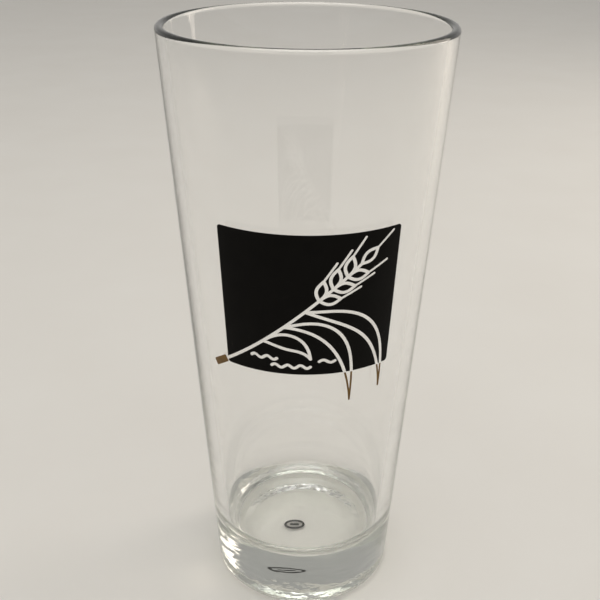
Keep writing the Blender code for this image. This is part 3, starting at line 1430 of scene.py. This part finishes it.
@dataclass
class Studio:
    """The paper floor, the soft lamps round it and the camera."""

    floor_radius: float = 6.0
    floor_sides: int = 64
    foot_gap: float = 0.05 * MM  # a foot stands on its high spots, so light gets under it
    air: str = "#fbf9f5"
    # How bright the room is at some heights, each given as the sine of its elevation: pale walls,
    # a darker band above them, and a skylight that fades out round the zenith.
    levels: tuple[tuple[float, float], ...] = (
        (0.0, 0.62),
        (0.12, 0.60),
        (0.35, 0.44),
        (0.75, 0.42),
        (0.9, 0.46),
        (0.965, 0.9),
        (1.0, 2.5),
    )
    # Light that enters at the lip runs down inside the wall, from side to side, to the base.
    bounces: int = 128
    lamps: tuple[Softbox, ...] = (
        Softbox("overhead", (0.0, -0.1, 1.3), (0, 0, 0), (1.2, 1.2), 6.6, "#fffdf8"),
        Softbox("window", (0.8, 0.40, 0.50), (0.05, 0.08, 0.04), (0.35, 1.0), 2.3, "#fff3e4"),
    )

    def floor(self, paper: bpy.types.Material) -> None:
        """Lays the floor.

        Args:
            paper: Its material.
        """
        mesh = bpy.data.meshes.new("floor")
        turns = [2 * math.pi * i / self.floor_sides for i in range(self.floor_sides)]
        rim = [
            (self.floor_radius * math.cos(t), self.floor_radius * math.sin(t), -self.foot_gap)
            for t in turns
        ]
        mesh.from_pydata(rim, [], [range(self.floor_sides)])
        mesh.materials.append(paper)
        floor = bpy.data.objects.new("floor", mesh)
        bpy.context.scene.collection.objects.link(floor)
        floor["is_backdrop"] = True

    def room(self) -> None:
        """Fills the room with light."""
        world = bpy.data.worlds.new("room")
        world.use_nodes = True
        tree = world.node_tree
        tree.nodes.clear()
        way = add_node(tree, "ShaderNodeTexCoord").outputs["Generated"]
        height = add_node(tree, "ShaderNodeSeparateXYZ", {0: way}).outputs["Z"]
        ramp = add_node(tree, "ShaderNodeValToRGB", {0: height})
        stops = ramp.color_ramp.elements
        brightest = max(brightness for _, brightness in self.levels)
        for number, (level, brightness) in enumerate(self.levels):
            stop = stops.new(level) if number >= len(stops) else stops[number]
            stop.position = level
            stop.color = (*[brightness / brightest] * 3, 1)
        tinted = add_node(
            tree,
            "ShaderNodeMix",
            {0: 1.0, 6: ramp, 7: linear(self.air)},
            data_type="RGBA",
            blend_type="MULTIPLY",
        )
        light = add_node(
            tree, "ShaderNodeBackground", {"Color": tinted.outputs[2], "Strength": brightest}
        )
        add_node(tree, "ShaderNodeOutputWorld", {0: light})
        bpy.context.scene.world = world

    def build(self) -> None:
        """Sets up the floor, the light and the camera."""
        self.floor(BackdropPaper().material())
        self.room()
        for lamp in self.lamps:
            lamp.build()
        Viewpoint().build()
        scene = bpy.context.scene
        scene.view_settings.view_transform = "Standard"
        scene.cycles.max_bounces = self.bounces
        scene.cycles.transmission_bounces = self.bounces
        scene.cycles.glossy_bounces = self.bounces
        # With Cycles' glossy filter on, the paper under the base comes out much too dark. The
        # clamp makes no difference there, and is off so that no light inside the glass is cut.
        scene.cycles.blur_glossy = 0
        scene.cycles.sample_clamp_indirect = 0


def shared_box(nodes: Sequence[str]) -> tuple[Vector, Vector]:
    """Finds the box round some CAD nodes together.

    Args:
        nodes: The nodes' names.

    Returns:
        Its lowest and highest corner.
    """
    boxes = [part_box(node) for node in nodes]
    low = Vector(min(box[0][axis] for box in boxes) for axis in range(3))
    high = Vector(max(box[1][axis] for box in boxes) for axis in range(3))
    return low, high


def main() -> None:
    """Builds every piece, the floor, the lights and the camera."""
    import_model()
    cad_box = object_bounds()
    Studio().build()

    low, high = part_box(GLASS_NODE)
    glass = TurnedGlass(height=high[2] - low[2])
    glass.dress(glass.build(SodaLimeGlass().material()))

    # Between them these two patches reach the panel's bottom and top edges.
    low, high = shared_box(["panel_above_stem", "panel_below_stem"])
    drawing = BarleyDrawing(height=high[2] - low[2])
    wall_print = WallPrint(glass, drawing, middle=(low[2] + high[2]) / 2)
    black = ScreenedEnamel().material()
    inks = {Slot.BLACK: black, Slot.BRONZE: BronzeLustre().material()}
    for piece in wall_print.build(inks):
        log.info("printed %s", piece.name)
    for piece in BaseMark(glass.punt_depth).build(ScreenedEnamel("base_mark_enamel").material()):
        log.info("printed %s", piece.name)

    boxes = {"cad": cad_box, "visual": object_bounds()}
    {name: [list(corner) for corner in box] for name, box in boxes.items()}


if __name__ == "__main__":
    logging.basicConfig(level=logging.INFO, format="%(name)s: %(message)s")
    main()
